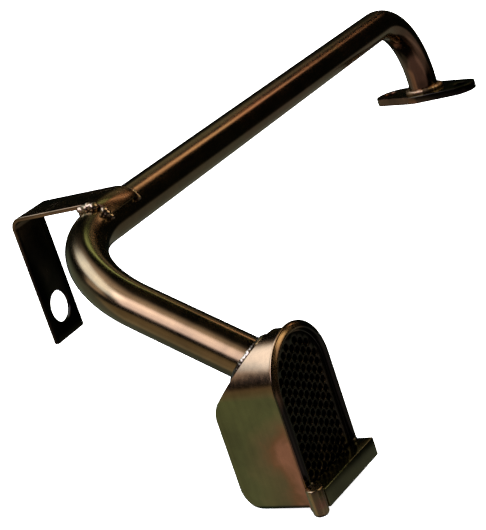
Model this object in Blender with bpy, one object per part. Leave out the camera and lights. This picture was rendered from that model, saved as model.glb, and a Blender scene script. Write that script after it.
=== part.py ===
# Oil pickup tube for a wet-sump V8: a bent steel tube with a two-bolt pump flange at one end,
# a pressed shroud with a perforated suction screen at the other, and a strap that hangs the
# tube on a main-cap stud. Everything is welded up from separate steel pieces and zinc plated.
#
# Frame: the origin is the centre of the pump flange on its mating face, +Z leaves the flange
# along the tube, +X is the way the suction screen looks, and the tube runs away along -Y.

import math

import bmesh
import bpy
from mathutils import Matrix, Vector

MM = 0.001

# Fit between pieces that touch
GAP = 0.3 * MM

# Tube
TUBE_OD = 19.05 * MM
TUBE_WALL = 1.65 * MM
TUBE_SIDES = 24
RISE = 60.5 * MM
RUN_LENGTH = 443.6 * MM
RUN_YAW = 5.58
FLANGE_BEND = 49.7 * MM
HEAD_BEND = 54.0 * MM
LEG_YAW = -3.07
LEG_DROP = 29.33
BEND_STEP = 8.0
TUBE_RECESS = 0.6 * MM

# Pump flange
FLANGE_THICK = 4.76 * MM
BOLT_SPACING = 57.15 * MM
FLANGE_LOBE = 9.3 * MM
FLANGE_WAIST = 16.7 * MM
FLANGE_TURN = -8.8
BOLT_HOLE = 8.7 * MM
FLANGE_EDGE = 0.5 * MM

# Stud bracket, a bent strap saddled over the tube
STRAP_WIDTH = 24.0 * MM
STRAP_THICK = 2.0 * MM
STRAP_FROM_HEAD_CORNER = 54.0 * MM
STRAP_REACH = 45.3 * MM
STRAP_DROP = 63.5 * MM
STRAP_BEND = 3.6 * MM
STRAP_WRAP = 62.0
STRAP_CORNER = 1.2 * MM
STUD_HOLE = 15.0 * MM
STUD_HOLE_UP = 15.0 * MM

# Shroud, pressed from sheet: a tombstone outline, a sloped back for the tube, a flared mouth
SHROUD_ARCH = 19.6 * MM
SHROUD_BELOW_ARCH = 48.5 * MM
SHROUD_DEPTH = 32.8 * MM
SHROUD_WALL = 1.5 * MM
SHROUD_EDGE = 2.0 * MM
SHROUD_FOOT = 2.6 * MM
SHROUD_SLOPE = 45.0
SHROUD_KNEE = 12.0 * MM
SHROUD_HEEL = 10.5 * MM
SLOPE_AT_TUBE = 103.6 * MM
BACK_BELOW_TUBE = 11.8 * MM
ARCH_BELOW_TUBE = 8.1 * MM
TUBE_INTO_SHROUD = 3.0 * MM
FLARE = 2.45 * MM
FLARE_DEPTH = 3.1 * MM
LIP_THICK = 0.9 * MM
LIP_FACE = 1.45 * MM
ARCH_SIDES = 24

# Ring and perforated sheet in the flare
RING_DEPTH = 1.1 * MM
RING_INSET = 2.3 * MM
RING_EDGE = 0.35 * MM
SCREEN_THICK = 0.9 * MM
SCREEN_PITCH = 3.97 * MM
SCREEN_HOLE = 3.3 * MM
SCREEN_HOLE_SIDES = 8
SCREEN_BORDER = 0.4 * MM

# Floor spacer and the stub foot on its end
SPACER_SIZE = 7.94 * MM
SPACER_EDGE = 0.6 * MM
SPACER_LENGTH = 42.2 * MM
SPACER_UP = 2.15 * MM
STUB_RADIUS = 3.1 * MM
STUB_ABOVE = 1.8 * MM
STUB_LENGTH = 12.0 * MM
STUB_ROUND = 2.8 * MM

# Weld beads
WELD_RADIUS = 1.6 * MM
FLANGE_WELD_RADIUS = 1.5 * MM
SHROUD_WELD_RADIUS = 1.5 * MM
TACK_RADIUS = 1.0 * MM
TACK_LENGTH = 2.6 * MM
BEAD_SIDES = 2
WELD_FROM = -24.0
WELD_TO = 16.0
CORNER_WELD_FROM = 42.0
CORNER_WELD_TO = 68.0

PLATED = {
    "dark": ((0.030, 0.022, 0.014, 1.0), 0.22, 1.0),
    "bronze": ((0.085, 0.050, 0.026, 1.0), 0.22, 1.0),
    "olive": ((0.075, 0.070, 0.034, 1.0), 0.30, 1.0),
    "gold": ((0.260, 0.150, 0.050, 1.0), 0.25, 1.0),
    "weld": ((0.420, 0.300, 0.190, 1.0), 0.35, 1.0),
    "screen": ((0.030, 0.020, 0.016, 1.0), 0.45, 0.8),
}

TUBE_RADIUS = TUBE_OD / 2
UP = Vector((0, 0, 1))


def heading(yaw, drop=0.0):
    """A unit direction turned by yaw in the XY plane and dropped below it, in degrees."""
    flat = math.cos(math.radians(drop))
    yaw = math.radians(yaw)
    return Vector((flat * math.cos(yaw), flat * math.sin(yaw), -math.sin(math.radians(drop))))


# The tube's centre line: up from the flange, along the run, then down the leg to the shroud
RUN_DIRECTION = heading(RUN_YAW - 90)
LEG_DIRECTION = heading(LEG_YAW, LEG_DROP)
RUN_ACROSS = heading(RUN_YAW)
FLANGE_CORNER = UP * RISE
HEAD_CORNER = FLANGE_CORNER + RUN_DIRECTION * RUN_LENGTH
TUBE_AT_SLOPE = HEAD_CORNER + LEG_DIRECTION * SLOPE_AT_TUBE

# The shroud hangs on the point where the tube enters its sloped back
ARCH_Z = TUBE_AT_SLOPE.z - ARCH_BELOW_TUBE
BOTTOM_Z = ARCH_Z - SHROUD_BELOW_ARCH
HEAD_Y = TUBE_AT_SLOPE.y
BACK_X = TUBE_AT_SLOPE.x - BACK_BELOW_TUBE / math.tan(math.radians(SHROUD_SLOPE))
MOUTH_X = BACK_X + SHROUD_DEPTH


def clear_scene():
    for old in list(bpy.data.objects):
        bpy.data.objects.remove(old, do_unlink=True)


def plated(finish):
    """The plated steel material of one finish, made once."""
    material = bpy.data.materials.get(finish)
    if material is None:
        colour, roughness, metallic = PLATED[finish]
        material = bpy.data.materials.new(finish)
        material.use_nodes = True
        shader = material.node_tree.nodes["Principled BSDF"]
        shader.inputs["Base Color"].default_value = colour
        shader.inputs["Roughness"].default_value = roughness
        shader.inputs["Metallic"].default_value = metallic
    return material


def add_object(name, bm, finish, smooth=35.0):
    """Makes one named solid from a bmesh, with smooth shading below an angle."""
    bmesh.ops.remove_doubles(bm, verts=bm.verts, dist=0.000001)
    bmesh.ops.recalc_face_normals(bm, faces=bm.faces)
    mesh = bpy.data.meshes.new(name)
    bm.to_mesh(mesh)
    bm.free()
    mesh.shade_smooth()
    mesh.set_sharp_from_angle(angle=math.radians(smooth))
    piece = bpy.data.objects.new(name, mesh)
    bpy.context.scene.collection.objects.link(piece)
    piece.data.materials.append(plated(finish))
    return piece


def cut(piece, cutter, name):
    """Cuts one solid out of another with a Boolean that stays on the piece."""
    cutter.hide_render = True
    cutter.display_type = "WIRE"
    boolean = piece.modifiers.new(name, "BOOLEAN")
    boolean.operation = "DIFFERENCE"
    boolean.solver = "EXACT"
    boolean.object = cutter


def arc(centre, radius, start, end, steps):
    """Points of an arc in a plane, with its angles in degrees."""
    points = []
    for i in range(steps + 1):
        angle = math.radians(start + (end - start) * i / steps)
        points.append((centre[0] + radius * math.cos(angle), centre[1] + radius * math.sin(angle)))
    return points


def prism(outline, place, along):
    """A bmesh of a flat outline, put in space by place(u, v) and extruded along a vector."""
    bm = bmesh.new()
    face = bm.faces.new([bm.verts.new(place(u, v)) for u, v in outline])
    grown = bmesh.ops.extrude_face_region(bm, geom=[face])
    moved = [v for v in grown["geom"] if isinstance(v, bmesh.types.BMVert)]
    bmesh.ops.translate(bm, verts=moved, vec=along)
    return bm


def rod(name, centre, direction, radius, length, sides=32):
    """A round bar along a direction, used to drill holes."""
    bm = bmesh.new()
    turn = direction.to_track_quat("Z", "Y").to_matrix().to_4x4()
    bmesh.ops.create_cone(bm, cap_ends=True, segments=sides, radius1=radius, radius2=radius,
                          depth=length, matrix=Matrix.Translation(centre) @ turn)
    return add_object(name, bm, "dark")


def bead(name, points, radius, closed, finish="weld"):
    """A weld bead: a round section swept along its points, as one closed body."""
    curve = bpy.data.curves.new(name, "CURVE")
    curve.dimensions = "3D"
    curve.bevel_depth = radius
    curve.bevel_resolution = BEAD_SIDES
    curve.use_fill_caps = not closed
    spline = curve.splines.new("POLY")
    spline.points.add(len(points) - 1)
    for place, point in zip(spline.points, points):
        place.co = (*point, 1.0)
    spline.use_cyclic_u = closed
    spline.use_smooth = True
    piece = bpy.data.objects.new(name, curve)
    bpy.context.scene.collection.objects.link(piece)
    piece.data.materials.append(plated(finish))
    return piece


def tangent_length(way_in, way_out, radius):
    return radius * math.tan(way_in.angle(way_out) / 2)


def bend_stations(corner, way_in, way_out, radius):
    """Centre points and directions round one bend, from its first tangent point to its last."""
    turn = way_in.angle(way_out)
    axis = way_in.cross(way_out).normalized()
    inward = axis.cross(way_in).normalized()
    start = corner - way_in * tangent_length(way_in, way_out, radius)
    centre = start + inward * radius
    steps = max(4, round(math.degrees(turn) / BEND_STEP))
    stations = []
    for i in range(steps + 1):
        swing = Matrix.Rotation(turn * i / steps, 3, axis)
        stations.append((centre + swing @ (start - centre), swing @ way_in))
    return stations


def ring_of(bm, centre, direction, radius):
    """A ring of vertices square to a direction, started on the side nearest the part's +X."""
    first = (Vector((1, 0, 0)) - direction * direction.x).normalized()
    second = direction.cross(first)
    ring = []
    for i in range(TUBE_SIDES):
        angle = 2 * math.pi * i / TUBE_SIDES
        spoke = first * math.cos(angle) + second * math.sin(angle)
        ring.append(bm.verts.new(centre + spoke * radius))
    return ring


def skin(bm, ring, following):
    """Faces between two rings."""
    for i in range(len(ring)):
        k = (i + 1) % len(ring)
        bm.faces.new((ring[i], ring[k], following[k], following[i]))


def pickup_tube():
    """One bent tube with a bore: up from the flange, along the run and down into the shroud."""
    end = SLOPE_AT_TUBE + TUBE_INTO_SHROUD
    stations = [(UP * TUBE_RECESS, UP)]
    stations += bend_stations(FLANGE_CORNER, UP, RUN_DIRECTION, FLANGE_BEND)
    stations += bend_stations(HEAD_CORNER, RUN_DIRECTION, LEG_DIRECTION, HEAD_BEND)
    stations += [(HEAD_CORNER + LEG_DIRECTION * end, LEG_DIRECTION)]
    bm = bmesh.new()
    outer = [ring_of(bm, *station, TUBE_RADIUS) for station in stations]
    inner = [ring_of(bm, *station, TUBE_RADIUS - TUBE_WALL) for station in stations]
    for wall in (outer, inner):
        for ring, following in zip(wall, wall[1:]):
            skin(bm, ring, following)
    skin(bm, outer[0], inner[0])
    skin(bm, outer[-1], inner[-1])
    return add_object("pickup_tube", bm, "bronze", smooth=50)


def flange_outline():
    """A waist disc and two bolt lobes joined by their common tangents."""
    half = BOLT_SPACING / 2
    lean = math.degrees(math.acos((FLANGE_WAIST - FLANGE_LOBE) / half))
    return (arc((half, 0), FLANGE_LOBE, -lean, lean, 10)
            + arc((0, 0), FLANGE_WAIST, lean, 180 - lean, 10)
            + arc((-half, 0), FLANGE_LOBE, 180 - lean, 180 + lean, 10)
            + arc((0, 0), FLANGE_WAIST, 180 + lean, 360 - lean, 10))


def pump_flange():
    """The two-bolt flange, with a socket for the tube and its edges eased."""
    long_axis = heading(FLANGE_TURN)
    short_axis = heading(FLANGE_TURN + 90)
    bm = prism(flange_outline(), lambda u, v: long_axis * u + short_axis * v, UP * FLANGE_THICK)
    bmesh.ops.recalc_face_normals(bm, faces=bm.faces)
    rims = [e for e in bm.edges if e.calc_face_angle(0) > math.radians(60)]
    bmesh.ops.bevel(bm, geom=rims, offset=FLANGE_EDGE, segments=1, affect="EDGES", profile=0.5,
                    material=-1)
    flange = add_object("pump_flange", bm, "bronze")
    middle = UP * FLANGE_THICK / 2
    through = FLANGE_THICK * 3
    cut(flange, rod("cut_socket", middle, UP, TUBE_RADIUS + GAP, through, 48), "socket")
    for side in (-1, 1):
        place = middle + long_axis * (side * BOLT_SPACING / 2)
        cut(flange, rod(f"cut_bolt_{side + 1}", place, UP, BOLT_HOLE / 2, through, 24), f"bolt_{side + 1}")
    return flange


def flange_weld():
    """The fillet bead between the tube and the top of the flange."""
    reach = TUBE_RADIUS + GAP + FLANGE_WELD_RADIUS
    height = FLANGE_THICK + GAP + FLANGE_WELD_RADIUS
    loop = [(x, y, height) for x, y in arc((0, 0), reach, 0, 360, 32)[:-1]]
    return bead("flange_weld", loop, FLANGE_WELD_RADIUS, True, "gold")


def strap_frame():
    """Where the strap sits on the run: its centre, and its across and along directions."""
    centre = HEAD_CORNER - RUN_DIRECTION * STRAP_FROM_HEAD_CORNER
    return centre, RUN_ACROSS, RUN_DIRECTION


def stud_bracket():
    """A strap that wraps the tube's top, runs out level and turns down to its stud hole."""
    centre, across, along = strap_frame()
    inside = TUBE_RADIUS + GAP
    outside = inside + STRAP_THICK
    fold = (-STRAP_REACH + STRAP_THICK + STRAP_BEND, inside - STRAP_BEND)
    tip = outside - STRAP_DROP
    outline = (arc((0, 0), outside, 90 - STRAP_WRAP, 90, 8)
               + arc(fold, STRAP_BEND + STRAP_THICK, 90, 180, 8)
               + [(-STRAP_REACH, tip), (-STRAP_REACH + STRAP_THICK, tip)]
               + arc(fold, STRAP_BEND, 180, 90, 8)
               + arc((0, 0), inside, 90, 90 - STRAP_WRAP, 8))
    start = centre - along * STRAP_WIDTH / 2
    bm = prism(outline, lambda u, v: start + across * u + UP * v, along * STRAP_WIDTH)
    bmesh.ops.remove_doubles(bm, verts=bm.verts, dist=0.000001)
    bmesh.ops.recalc_face_normals(bm, faces=bm.faces)
    tip_z = centre.z + tip
    corners = [e for e in bm.edges
               if all(v.co.z < tip_z + STRAP_THICK / 2 for v in e.verts)
               and abs((e.verts[0].co - e.verts[1].co).normalized().dot(across)) > 0.9]
    bmesh.ops.bevel(bm, geom=corners, offset=STRAP_CORNER, segments=3, affect="EDGES",
                    profile=0.5, material=-1)
    bracket = add_object("stud_bracket", bm, "dark")
    leg_middle = centre - across * (STRAP_REACH - STRAP_THICK / 2)
    hole = leg_middle + UP * (tip + STUD_HOLE_UP)
    cut(bracket, rod("cut_stud", hole, across, STUD_HOLE / 2, STRAP_THICK * 6, 32), "stud")
    return bracket


def bracket_weld(name, end, start_angle, end_angle, radius):
    """A bead on the tube along one edge of the saddle; end is -1 by the flange, 1 by the head."""
    centre, across, along = strap_frame()
    middle = centre + along * (end * (STRAP_WIDTH / 2 + GAP + radius))
    reach = TUBE_RADIUS + GAP + radius
    points = []
    for u, v in arc((0, 0), reach, 90 - start_angle, 90 - end_angle, 8):
        points.append(middle + across * u + UP * v)
    return bead(name, points, radius, False)


def tombstone(shrink):
    """The shroud's front outline (y, z), drawn in by a distance: an arch over a straight box."""
    radius = SHROUD_ARCH - shrink
    bottom = BOTTOM_Z + shrink
    foot = max(SHROUD_FOOT - shrink, 0.5 * MM)
    left = HEAD_Y - radius
    right = HEAD_Y + radius
    return (arc((HEAD_Y, ARCH_Z), radius, 0, 180, ARCH_SIDES)
            + arc((left + foot, bottom + foot), foot, 180, 270, 4)
            + arc((right - foot, bottom + foot), foot, 270, 360, 4))


def loft(stations, looped):
    """Tombstone rings (x, shrink) joined in turn: capped at the ends, or looped into a frame."""
    bm = bmesh.new()
    rings = [[bm.verts.new((x, y, z)) for y, z in tombstone(shrink)] for x, shrink in stations]
    for ring, following in zip(rings, rings[1:]):
        skin(bm, ring, following)
    if looped:
        skin(bm, rings[-1], rings[0])
    else:
        bm.faces.new(rings[0])
        bm.faces.new(rings[-1])
    bmesh.ops.recalc_face_normals(bm, faces=bm.faces)
    return bm


def side_normal(angle):
    """An outward direction in the XZ plane: 90 is up, 180 is back and 270 is down."""
    return Vector((math.cos(math.radians(angle)), 0, math.sin(math.radians(angle))))


def back_planes():
    """The planes that bound the shroud's back in side view, with its rounded knee and heel."""
    slope = 180 - SHROUD_SLOPE
    run = SHROUD_KNEE * math.tan(math.radians(SHROUD_SLOPE / 2))
    knee = Vector((BACK_X + SHROUD_KNEE, HEAD_Y, TUBE_AT_SLOPE.z - BACK_BELOW_TUBE - run))
    heel = Vector((BACK_X + SHROUD_HEEL, HEAD_Y, BOTTOM_Z + SHROUD_HEEL))
    planes = [(TUBE_AT_SLOPE, side_normal(slope)), (Vector((BACK_X, HEAD_Y, ARCH_Z)), side_normal(180))]
    for k in range(1, 4):
        normal = side_normal(slope + SHROUD_SLOPE * k / 4)
        planes.append((knee + normal * SHROUD_KNEE, normal))
    for k in range(1, 6):
        normal = side_normal(180 + 90 * k / 6)
        planes.append((heel + normal * SHROUD_HEEL, normal))
    return planes


def trim_back(bm, shrink):
    """Trims a loft to the back planes, drawn in by a distance."""
    for point, normal in back_planes():
        everything = bm.verts[:] + bm.edges[:] + bm.faces[:]
        sliced = bmesh.ops.bisect_plane(bm, geom=everything, plane_no=normal, clear_outer=True,
                                        plane_co=point - normal * shrink)
        rim = [e for e in sliced["geom_cut"] if isinstance(e, bmesh.types.BMEdge)]
        bmesh.ops.contextual_create(bm, geom=rim)
    bmesh.ops.recalc_face_normals(bm, faces=bm.faces)


def pickup_shroud():
    """The pressed shell, open at its flared mouth and drilled for the tube."""
    start = BACK_X - SHROUD_WALL
    outside = loft([(start, 0), (MOUTH_X - FLARE_DEPTH, 0),
                    (MOUTH_X - FLARE_DEPTH * 0.64, -FLARE * 0.2), (MOUTH_X - FLARE_DEPTH * 0.38, -FLARE * 0.6),
                    (MOUTH_X - LIP_THICK, -FLARE), (MOUTH_X, -FLARE)], False)
    trim_back(outside, 0)
    pressed = [e for e in outside.edges
               if e.calc_face_angle(0) > math.radians(40)
               and all(v.co.x < MOUTH_X - FLARE_DEPTH * 1.2 for v in e.verts)]
    bmesh.ops.bevel(outside, geom=pressed, offset=SHROUD_EDGE, segments=3, affect="EDGES",
                    profile=0.5, material=-1, clamp_overlap=True)
    shell = add_object("pickup_shroud", outside, "olive")
    cone = (FLARE - LIP_FACE + SHROUD_WALL) / (FLARE_DEPTH * 0.8)
    inside = loft([(start, SHROUD_WALL), (MOUTH_X - FLARE_DEPTH * 0.8, SHROUD_WALL),
                   (MOUTH_X + LIP_THICK, LIP_FACE - FLARE - cone * LIP_THICK)], False)
    trim_back(inside, SHROUD_WALL)
    cut(shell, add_object("cut_hollow", inside, "dark"), "hollow")
    drill = rod("cut_tube", TUBE_AT_SLOPE, LEG_DIRECTION, TUBE_RADIUS + GAP, TUBE_OD, 48)
    cut(shell, drill, "tube_hole")
    return shell


def shroud_weld():
    """The bead where the tube meets the sloped back: an ellipse, since the tube is not square to it."""
    side = LEG_DIRECTION.cross(UP).normalized()
    over = side.cross(LEG_DIRECTION)
    normal = side_normal(180 - SHROUD_SLOPE)
    lift = GAP + SHROUD_WELD_RADIUS
    points = []
    for u, v in arc((0, 0), TUBE_RADIUS + lift, 0, 360, 32)[:-1]:
        ring = side * u + over * v
        slide = (lift - ring.dot(normal)) / LEG_DIRECTION.dot(normal)
        points.append(TUBE_AT_SLOPE + ring + LEG_DIRECTION * slide)
    return bead("shroud_weld", points, SHROUD_WELD_RADIUS, True)


def screen_ring():
    """The frame that holds the screen, tapered to sit in the flare and flush with the lip."""
    cone = (FLARE - LIP_FACE + SHROUD_WALL) / (FLARE_DEPTH * 0.8)
    back = MOUTH_X - RING_DEPTH
    outer = LIP_FACE - FLARE + GAP * math.hypot(1, cone)
    ring = loft([(back, RING_INSET), (back, outer + cone * RING_DEPTH),
                 (MOUTH_X - RING_EDGE, outer + cone * RING_EDGE), (MOUTH_X, outer + RING_EDGE * 1.5),
                 (MOUTH_X, RING_INSET + RING_EDGE), (MOUTH_X - RING_EDGE, RING_INSET)], True)
    return add_object("screen_ring", ring, "gold")


def inside_tombstone(y, z, margin):
    """Whether a point of the screen keeps a margin from the ring's inner edge."""
    radius = SHROUD_ARCH - RING_INSET - margin
    if z > ARCH_Z:
        return math.hypot(y - HEAD_Y, z - ARCH_Z) < radius
    bottom = BOTTOM_Z + RING_INSET + margin
    return abs(y - HEAD_Y) < radius and z > bottom


def screen_places():
    """Centres of the staggered holes: columns run down the screen, each half a pitch from the last."""
    column = SCREEN_PITCH * math.sqrt(3) / 2
    columns = math.ceil(SHROUD_ARCH / column)
    rows = math.ceil(SHROUD_BELOW_ARCH / SCREEN_PITCH)
    margin = SCREEN_HOLE / 2 + SCREEN_BORDER
    places = []
    for i in range(-columns, columns + 1):
        stagger = SCREEN_PITCH / 2 if i % 2 else 0.0
        for k in range(-rows, rows + 1):
            y = HEAD_Y + i * column
            z = ARCH_Z + k * SCREEN_PITCH + stagger
            if inside_tombstone(y, z, margin):
                places.append((y, z))
    return places


def suction_screen():
    """The perforated sheet behind the ring, just inside the shell's walls."""
    back = MOUTH_X - RING_DEPTH - GAP - SCREEN_THICK
    inset = SHROUD_WALL + GAP
    sheet = loft([(back, inset), (back + SCREEN_THICK, inset)], False)
    screen = add_object("suction_screen", sheet, "screen")
    punches = bmesh.new()
    turn = Matrix.Rotation(math.radians(90), 4, "Y")
    for y, z in screen_places():
        place = Matrix.Translation((back + SCREEN_THICK / 2, y, z))
        bmesh.ops.create_cone(punches, cap_ends=True, segments=SCREEN_HOLE_SIDES,
                              radius1=SCREEN_HOLE / 2, radius2=SCREEN_HOLE / 2,
                              depth=SCREEN_THICK * 3, matrix=place @ turn)
    cut(screen, add_object("cut_punches", punches, "dark"), "punches")
    return screen


def spacer_place():
    """The lower back edge of the floor spacer: x just clear of the lip, z above the shroud's bottom."""
    return MOUTH_X + GAP, BOTTOM_Z + SPACER_UP


def floor_spacer():
    """The square bar across the foot of the mouth that keeps it off the pan floor."""
    x, z = spacer_place()
    bm = bmesh.new()
    centre = Vector((x + SPACER_SIZE / 2, HEAD_Y, z + SPACER_SIZE / 2))
    size = Matrix.Diagonal((SPACER_SIZE, SPACER_LENGTH, SPACER_SIZE, 1))
    bmesh.ops.create_cube(bm, size=1, matrix=Matrix.Translation(centre) @ size)
    bmesh.ops.bevel(bm, geom=bm.edges[:], offset=SPACER_EDGE, segments=2, affect="EDGES",
                    profile=0.5, material=-1)
    return add_object("floor_spacer", bm, "olive")


def stub_foot():
    """The short round stub on the spacer's end: square on top and rounded where it meets the floor."""
    x, z = spacer_place()
    end = HEAD_Y - SPACER_LENGTH / 2 - GAP - STUB_RADIUS
    top = z + SPACER_SIZE + STUB_ABOVE
    centre = Vector((x + SPACER_SIZE / 2, end, top - STUB_LENGTH / 2))
    bm = bmesh.new()
    bmesh.ops.create_cone(bm, cap_ends=True, segments=24, radius1=STUB_RADIUS, radius2=STUB_RADIUS,
                          depth=STUB_LENGTH, matrix=Matrix.Translation(centre))
    lower = [e for e in bm.edges if all(v.co.z < centre.z for v in e.verts)]
    bmesh.ops.bevel(bm, geom=lower, offset=STUB_ROUND, segments=4, affect="EDGES", profile=0.5,
                    material=-1)
    return add_object("stub_foot", bm, "bronze")


def spacer_tack(name, side):
    """A short tack between the spacer's top and the face of the lip, at one end."""
    x, z = spacer_place()
    top = z + SPACER_SIZE + GAP + TACK_RADIUS
    inset = SPACER_LENGTH / 2 - TACK_RADIUS
    points = []
    for i in range(5):
        y = HEAD_Y + side * (inset - TACK_LENGTH * i / 4)
        points.append((x + TACK_RADIUS, y, top))
    return bead(name, points, TACK_RADIUS, False)


def build():
    clear_scene()
    pickup_tube()
    pump_flange()
    flange_weld()
    stud_bracket()
    bracket_weld("bracket_weld_front", 1, WELD_FROM, WELD_TO, WELD_RADIUS)
    bracket_weld("bracket_weld_corner", 1, CORNER_WELD_FROM, CORNER_WELD_TO, WELD_RADIUS)
    bracket_weld("bracket_weld_back", -1, CORNER_WELD_FROM, CORNER_WELD_TO, WELD_RADIUS)
    pickup_shroud()
    shroud_weld()
    screen_ring()
    suction_screen()
    floor_spacer()
    stub_foot()
    spacer_tack("spacer_tack_left", -1)
    spacer_tack("spacer_tack_right", 1)


build()
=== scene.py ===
import math
import random

import bmesh
import bpy
from mathutils import Matrix, Vector


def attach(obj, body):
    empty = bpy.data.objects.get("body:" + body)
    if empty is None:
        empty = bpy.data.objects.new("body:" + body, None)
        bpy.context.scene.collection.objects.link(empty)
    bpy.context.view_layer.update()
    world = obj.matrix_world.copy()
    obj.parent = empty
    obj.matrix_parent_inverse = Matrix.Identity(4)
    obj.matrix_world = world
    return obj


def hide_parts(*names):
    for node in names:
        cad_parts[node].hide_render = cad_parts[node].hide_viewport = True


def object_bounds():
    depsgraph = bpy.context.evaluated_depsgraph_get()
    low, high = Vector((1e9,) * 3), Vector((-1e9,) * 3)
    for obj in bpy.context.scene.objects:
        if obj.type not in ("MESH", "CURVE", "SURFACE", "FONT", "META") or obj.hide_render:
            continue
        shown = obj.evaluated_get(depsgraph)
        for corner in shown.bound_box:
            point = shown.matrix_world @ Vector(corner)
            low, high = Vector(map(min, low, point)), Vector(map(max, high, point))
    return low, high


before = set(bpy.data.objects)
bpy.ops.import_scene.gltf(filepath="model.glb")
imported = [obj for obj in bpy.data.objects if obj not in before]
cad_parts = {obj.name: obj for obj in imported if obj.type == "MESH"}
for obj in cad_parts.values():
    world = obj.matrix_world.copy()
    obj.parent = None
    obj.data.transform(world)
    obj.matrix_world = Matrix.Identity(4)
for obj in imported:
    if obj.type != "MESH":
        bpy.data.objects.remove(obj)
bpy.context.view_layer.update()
scene = bpy.context.scene
up = Vector((0, 0, 1))


# Camera: where the photographer stood, and the way the camera was rolled
cameraPlace = {
    "eye": (0.49920, -0.92471, 0.21100),
    "right": (0.81043, 0.49876, -0.30731),
    "down": (-0.10814, -0.38820, -0.91521),
    "lens": 108.68,
    "sensor": 36.0,
    "near": 0.01,
    "far": 60.0,
}


def placeCamera():
    lens = bpy.data.cameras.new("studioCamera")
    lens.lens = cameraPlace["lens"]
    lens.sensor_width = cameraPlace["sensor"]
    lens.clip_start = cameraPlace["near"]
    lens.clip_end = cameraPlace["far"]
    body = bpy.data.objects.new("studioCamera", lens)
    right = Vector(cameraPlace["right"]).normalized()
    back = right.cross(-Vector(cameraPlace["down"])).normalized()
    turn = Matrix((right, back.cross(right), back)).transposed().to_4x4()
    body.matrix_world = Matrix.Translation(cameraPlace["eye"]) @ turn
    scene.collection.objects.link(body)
    scene.camera = body


placeCamera()
print("camera placed")


# Short ways to add, wire and set the nodes of a material or of the room
class NodeKit:
    def __init__(self, tree):
        self.tree = tree

    def add(self, kind, **settings):
        node = self.tree.nodes.new(kind)
        for key, value in settings.items():
            setattr(node, key, value)
        return node

    def wire(self, source, target):
        self.tree.links.new(source, target)

    def fill(self, socket, value):
        if isinstance(value, (int, float)):
            socket.default_value = value
        elif isinstance(value, tuple):
            socket.default_value = (*value, 1.0)
        else:
            self.wire(value, socket)

    def math(self, operation, first, second):
        node = self.add("ShaderNodeMath", operation=operation)
        self.fill(node.inputs[0], first)
        self.fill(node.inputs[1], second)
        return node.outputs["Value"]

    def dot(self, vector, axis):
        node = self.add("ShaderNodeVectorMath", operation="DOT_PRODUCT")
        self.wire(vector, node.inputs[0])
        node.inputs[1].default_value = axis
        return node.outputs["Value"]

    def spread(self, value, low, high, toLow, toHigh, curve="LINEAR"):
        node = self.add("ShaderNodeMapRange", interpolation_type=curve)
        for socket, number in (("From Min", low), ("From Max", high), ("To Min", toLow), ("To Max", toHigh)):
            node.inputs[socket].default_value = number
        self.wire(value, node.inputs["Value"])
        return node.outputs["Result"]


class Finish(NodeKit):
    def __init__(self, name):
        self.material = bpy.data.materials.new(name)
        self.material.use_nodes = True
        super().__init__(self.material.node_tree)
        self.shader = self.tree.nodes["Principled BSDF"]

    def place(self, scale=(1, 1, 1), turn=(0, 0, 0), attribute=None):
        mapping = self.add("ShaderNodeMapping")
        mapping.inputs["Scale"].default_value = scale
        mapping.inputs["Rotation"].default_value = [math.radians(a) for a in turn]
        if attribute:
            source = self.add("ShaderNodeAttribute", attribute_name=attribute).outputs["Vector"]
        else:
            source = self.add("ShaderNodeTexCoord").outputs["Object"]
        self.wire(source, mapping.inputs["Vector"])
        return mapping.outputs["Vector"]

    def noise(self, vector, scale, detail=3.0, roughness=0.55, distortion=0.0):
        noise = self.add("ShaderNodeTexNoise")
        for socket, number in (("Scale", scale), ("Detail", detail), ("Roughness", roughness),
                               ("Distortion", distortion)):
            noise.inputs[socket].default_value = number
        self.wire(vector, noise.inputs["Vector"])
        return noise.outputs["Fac"]

    def ramp(self, value, stops):
        ramp = self.add("ShaderNodeValToRGB")
        points = ramp.color_ramp.elements
        while len(points) < len(stops):
            points.new(0.5)
        for point, (where, colour) in zip(points, stops):
            point.position = where
            point.color = (*colour, 1.0)
        self.wire(value, ramp.inputs["Fac"])
        return ramp.outputs["Color"]

    def mix(self, factor, first, second, blend="MIX"):
        mix = self.add("ShaderNodeMix", data_type="RGBA", blend_type=blend)
        for socket, value in ((mix.inputs[0], factor), (mix.inputs[6], first), (mix.inputs[7], second)):
            self.fill(socket, value)
        return mix.outputs[2]

    def bump(self, height, strength, distance):
        bump = self.add("ShaderNodeBump")
        bump.inputs["Strength"].default_value = strength
        bump.inputs["Distance"].default_value = distance
        self.wire(height, bump.inputs["Height"])
        self.wire(bump.outputs["Normal"], self.shader.inputs["Normal"])

    def set(self, **values):
        for key, value in values.items():
            self.shader.inputs[key.replace("_", " ")].default_value = value


# Yellow zinc plate: a thin film whose colour drifts between copper, gold, olive and rose
zincPlate = {
    "film": (15.0, 2.0, 0.5, 0.8),     # each noise: its scale, detail, roughness and distortion
    "clouds": (70.0, 4.0, 0.6, 0.4),
    "grain": (1100.0, 3.0, 0.6),
    "lines": (1.0, 3.0, 0.65),
    "drawn": (520.0, 10.0),            # scratches across and along the metal's drawn direction
    "cloudShare": 0.2,
    "cloudRange": (0.3, 0.7),
    "tonesFrom": 0.42,                 # where the first tone lies, and how far off the last one is
    "tonesOver": 0.36,
    "worn": 0.3,
    "polished": 0.12,
    "lineShade": (0.35, 0.7, 0.92, 1.1),
    "lineRange": (0.4, 0.7),
    "roughSwing": 0.2,
    "scratch": 0.35,
    "grainShare": 0.6,
    "bump": 0.35,
    "bumpDepth": 0.00002,
    "coat": 0.55,
    "coatRoughness": 0.16,
    "edgeTint": (0.74, 0.81, 0.60),
}


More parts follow.
